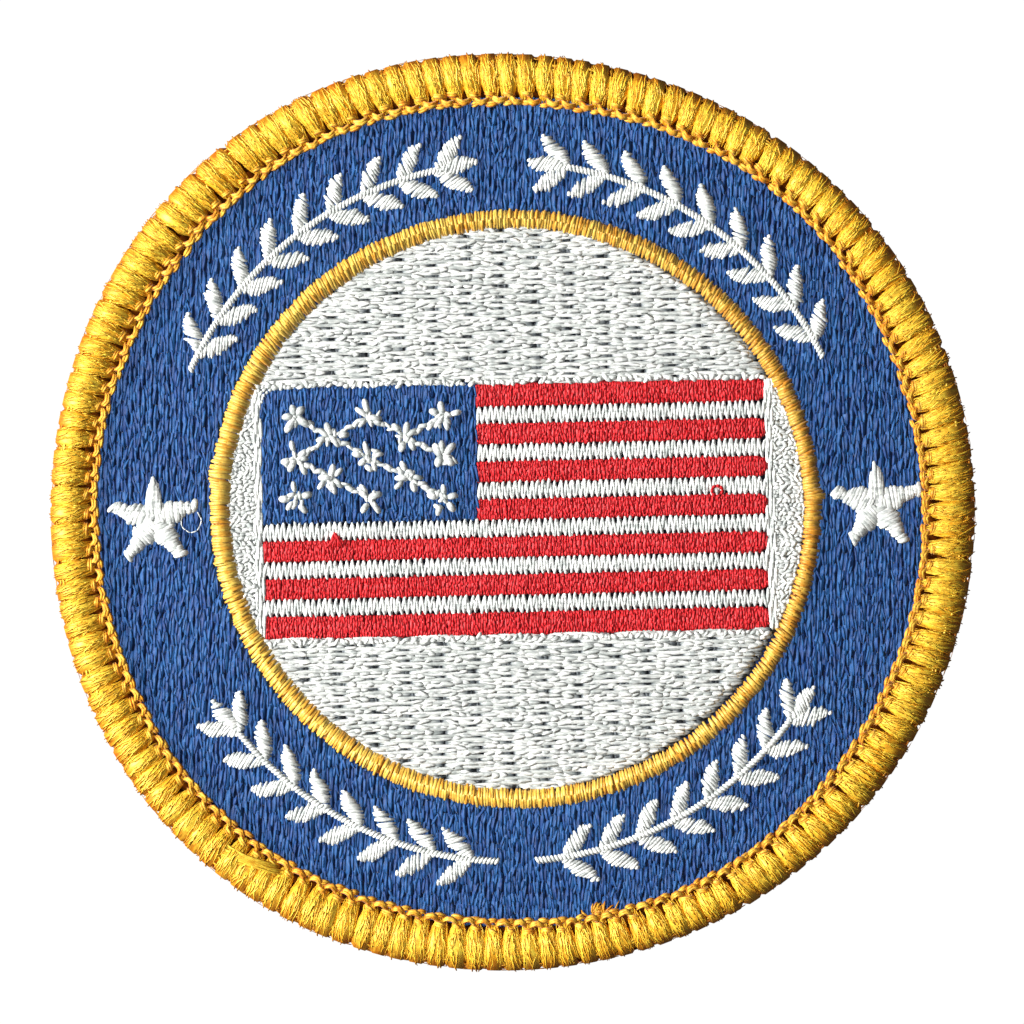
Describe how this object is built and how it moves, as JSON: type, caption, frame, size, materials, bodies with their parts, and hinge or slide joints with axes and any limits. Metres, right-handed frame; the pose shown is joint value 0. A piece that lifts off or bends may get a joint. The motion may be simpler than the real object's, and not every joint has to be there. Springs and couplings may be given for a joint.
{
  "type": "embroidered patch",
  "caption": "Round sew-on patch with an overlocked gold border, leaf sprays and stars on a blue band, and a striped flag on its white centre.",
  "frame": {"origin": "middle of the patch's back, on the surface that it lies on", "axes": "+Z out of the embroidered front, +Y towards the top of the design, +X to the right as the front is read"},
  "size_m": [0.0762, 0.0762, 0.0026],
  "materials": {
    "gold_thread": "satin rayon embroidery thread, golden yellow",
    "blue_thread": "satin rayon embroidery thread, royal blue",
    "white_thread": "satin rayon embroidery thread, white",
    "red_thread": "satin rayon embroidery thread, scarlet",
    "ground_cloth": "navy polyester twill with a stiff backing"
  },
  "bodies": {
    "root": {"ground_cloth": "ground_cloth", "merrow_border": "gold_thread", "border_chain": "gold_thread", "blue_field": "blue_thread", "gold_ring": "gold_thread", "white_field_upper": "white_thread", "white_field_lower": "white_thread", "white_field_left": "white_thread", "white_field_right": "white_thread", "flag_edge_left": "white_thread", "flag_edge_right": "white_thread", "canton": "blue_thread", "red_stripe_1": "red_thread", "red_stripe_2": "red_thread", "red_stripe_3": "red_thread", "red_stripe_4": "red_thread", "red_stripe_5": "red_thread", "red_stripe_6": "red_thread", "red_stripe_7": "red_thread", "white_stripe_1": "white_thread", "white_stripe_2": "white_thread", "white_stripe_3": "white_thread", "white_stripe_4": "white_thread", "white_stripe_5": "white_thread", "white_stripe_6": "white_thread", "canton_star_1": "white_thread", "canton_star_2": "white_thread", "canton_star_3": "white_thread", "canton_star_4": "white_thread", "canton_star_5": "white_thread", "canton_star_6": "white_thread", "canton_star_7": "white_thread", "canton_star_8": "white_thread", "canton_star_9": "white_thread", "canton_star_10": "white_thread", "canton_star_11": "white_thread", "canton_star_12": "white_thread", "canton_star_13": "white_thread", "star_left": "white_thread", "star_right": "white_thread", "laurel_upper_left": "white_thread", "laurel_upper_right": "white_thread", "laurel_lower_left": "white_thread", "laurel_lower_right": "white_thread"}
  },
  "joints": []
}
